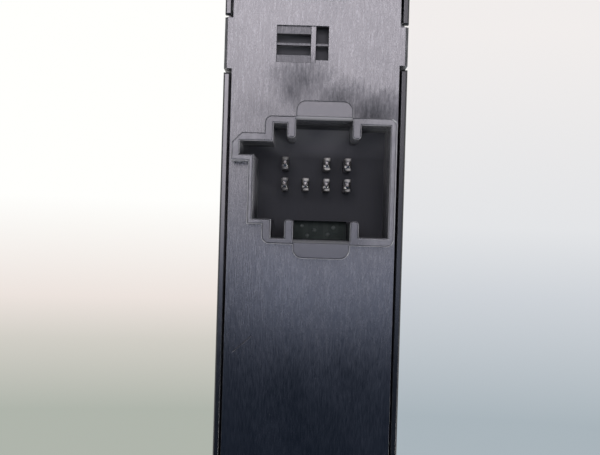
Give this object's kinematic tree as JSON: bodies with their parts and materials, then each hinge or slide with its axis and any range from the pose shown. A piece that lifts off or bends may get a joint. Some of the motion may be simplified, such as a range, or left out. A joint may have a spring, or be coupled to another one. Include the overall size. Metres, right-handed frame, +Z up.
{
  "type": "power window switch",
  "caption": "Long narrow car door window switch module: tilting rocker on top, keyed connector socket with blade terminals in the base plate.",
  "frame": {"origin": "middle of the module's outline, at the level of the connector shroud's rim, the lowest point", "axes": "+X along the module towards the connector end, +Y across it, +Z up towards the rocker"},
  "size_m": [0.097, 0.0242, 0.0358],
  "materials": {
    "housing_plastic": "fine grained charcoal moulding",
    "plate_plastic": "smooth charcoal moulding with fine lengthwise rub marks",
    "bezel_plastic": "fine grained soft black",
    "rocker_plastic": "soft touch black",
    "guide_plastic": "natural moulding",
    "board_green": "green solder mask",
    "terminal_tin": "tinned",
    "screw_steel": "zinc plated",
    "axle_steel": "ground",
    "spring_steel": "bright wire",
    "contact_brass": "stamped strip",
    "lens_clear": "milky clear",
    "light_guide_clear": "clear",
    "lamp_white": "white body with a soft yellow window",
    "chip_black": "moulded black",
    "capacitor_can": "drawn can"
  },
  "bodies": {
    "module": {"housing": "housing_plastic", "base_plate": "plate_plastic", "bezel": "bezel_plastic", "plunger_guide": "guide_plastic", "terminal_block": "guide_plastic", "circuit_board": "board_green", "terminal_1": "terminal_tin", "terminal_2": "terminal_tin", "terminal_3": "terminal_tin", "terminal_4": "terminal_tin", "terminal_5": "terminal_tin", "terminal_6": "terminal_tin", "terminal_7": "terminal_tin", "board_screws": "screw_steel", "rocker_axle": "axle_steel", "plunger_spring_front": "spring_steel", "plunger_spring_rear": "spring_steel", "fixed_contacts_front": "contact_brass", "fixed_contacts_rear": "contact_brass", "light_guide": "light_guide_clear", "led": "lamp_white", "control_chip": "chip_black", "resistors": "chip_black", "capacitors": "capacitor_can"},
    "rocker": {"rocker": "rocker_plastic", "symbol_lens": "lens_clear"},
    "plunger_front": {"plunger_front": "guide_plastic", "contact_bridge_front": "contact_brass"},
    "plunger_rear": {"plunger_rear": "guide_plastic", "contact_bridge_rear": "contact_brass"}
  },
  "joints": [
    {"name": "rocker_tilt", "type": "hinge", "parent": "module", "child": "rocker", "pos_m": [0, 0, 0.0265], "axis": [0, 1, 0], "range_deg": [-7.5, 7.5], "stiffness_Nm_per_rad": 0.25},
    {"name": "plunger_front_travel", "type": "slide", "parent": "module", "child": "plunger_front", "axis": [0, 0, 1], "range_m": [-0.00108, 0.00108], "deforming": ["plunger_spring_front"]},
    {"name": "plunger_rear_travel", "type": "slide", "parent": "module", "child": "plunger_rear", "axis": [0, 0, 1], "range_m": [-0.00108, 0.00108], "deforming": ["plunger_spring_rear"]}
  ],
  "couplings": [
    {"joint": "plunger_front_travel", "follows": "rocker_tilt", "m_per_rad": 0.008},
    {"joint": "plunger_rear_travel", "follows": "rocker_tilt", "m_per_rad": -0.008}
  ]
}
